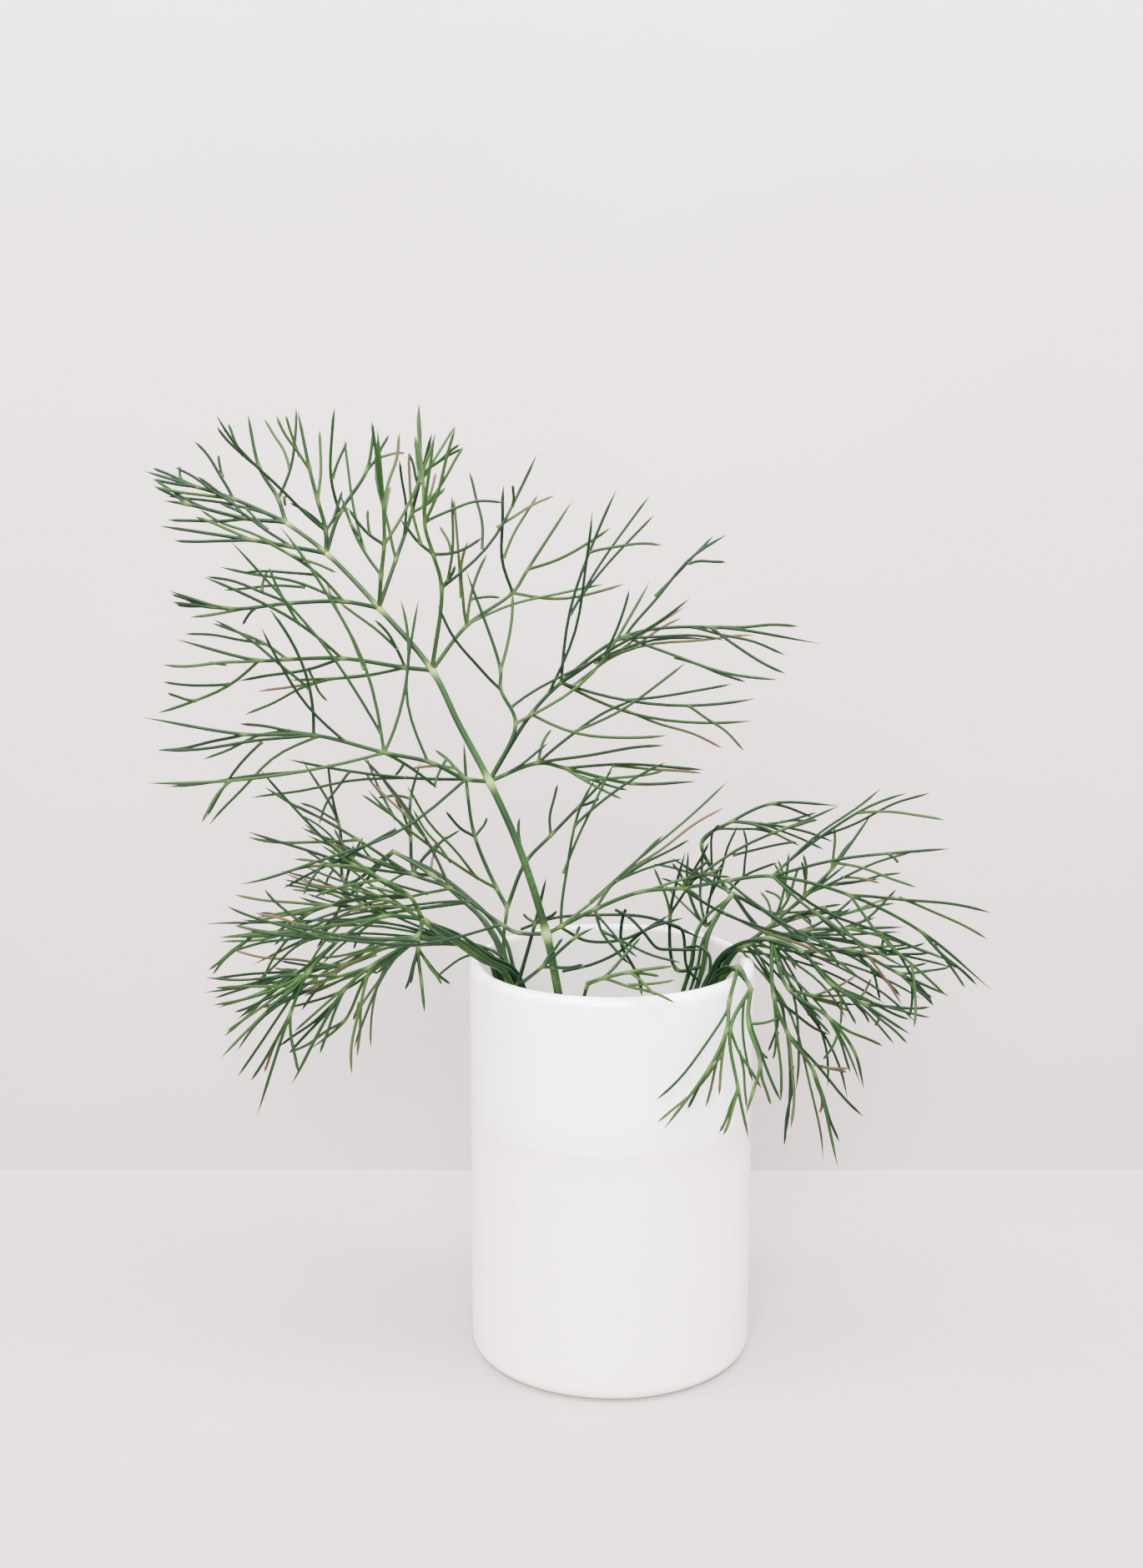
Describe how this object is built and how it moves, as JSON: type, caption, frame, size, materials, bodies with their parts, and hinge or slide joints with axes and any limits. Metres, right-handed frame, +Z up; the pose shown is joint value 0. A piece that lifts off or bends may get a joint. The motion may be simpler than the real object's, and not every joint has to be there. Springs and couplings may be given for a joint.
{
  "type": "vase of fennel fronds",
  "caption": "Small straight ceramic vase, glossy above and satin below, holding cut feathery fennel fronds that lean out over its rim.",
  "frame": {"origin": "centre of the vase foot, on the surface that the vase stands on", "axes": "+Z up along the vase axis, -Y towards the side that the tall frond and the drooping sprigs lean over, +X to the right seen from there"},
  "size_m": [0.228, 0.1035, 0.27],
  "materials": {
    "vase_ceramic": "satin",
    "fennel_stem": "satin",
    "fennel_leaf": "matte"
  },
  "bodies": {
    "root": {"vase": "vase_ceramic", "tall_stem": "fennel_stem", "left_stem": "fennel_stem", "low_stem": "fennel_stem", "back_left_stem": "fennel_stem", "middle_stem": "fennel_stem", "short_stem": "fennel_stem", "right_stem": "fennel_stem", "front_stem": "fennel_stem", "back_right_stem": "fennel_stem", "sprig_stem": "fennel_stem", "tall_leaf_tip": "fennel_leaf", "tall_leaf_top_left": "fennel_leaf", "tall_leaf_top_up": "fennel_leaf", "tall_leaf_fifth_left": "fennel_leaf", "tall_leaf_fifth_up": "fennel_leaf", "tall_leaf_fifth_right": "fennel_leaf", "tall_leaf_fourth_left": "fennel_leaf", "tall_leaf_fourth_up": "fennel_leaf", "tall_leaf_fourth_right": "fennel_leaf", "tall_leaf_third_left": "fennel_leaf", "tall_leaf_third_up": "fennel_leaf", "tall_leaf_third_right": "fennel_leaf", "tall_leaf_second_up": "fennel_leaf", "tall_leaf_second_right": "fennel_leaf", "tall_leaf_second_low": "fennel_leaf", "tall_leaf_second_left": "fennel_leaf", "tall_leaf_low_left": "fennel_leaf", "tall_leaf_low_right": "fennel_leaf", "left_leaf_low": "fennel_leaf", "left_leaf_up": "fennel_leaf", "left_leaf_middle": "fennel_leaf", "left_leaf_short": "fennel_leaf", "low_leaf_end": "fennel_leaf", "low_leaf_middle": "fennel_leaf", "low_leaf_hanging": "fennel_leaf", "low_leaf_over": "fennel_leaf", "back_left_leaf_low": "fennel_leaf", "back_left_leaf_up": "fennel_leaf", "back_left_leaf_end": "fennel_leaf", "back_left_leaf_side": "fennel_leaf", "middle_leaf_left": "fennel_leaf", "middle_leaf_right": "fennel_leaf", "short_leaf_up": "fennel_leaf", "short_leaf_right": "fennel_leaf", "right_leaf_end": "fennel_leaf", "right_leaf_low": "fennel_leaf", "right_leaf_hanging": "fennel_leaf", "right_leaf_drooping": "fennel_leaf", "right_leaf_back": "fennel_leaf", "right_leaf_across": "fennel_leaf", "front_leaf_left": "fennel_leaf", "front_leaf_middle": "fennel_leaf", "front_leaf_right": "fennel_leaf", "back_right_leaf_up": "fennel_leaf", "back_right_leaf_tall": "fennel_leaf", "back_right_leaf_side": "fennel_leaf", "back_right_leaf_low": "fennel_leaf", "back_right_leaf_inner": "fennel_leaf", "sprig_leaf_end": "fennel_leaf"}
  },
  "joints": []
}
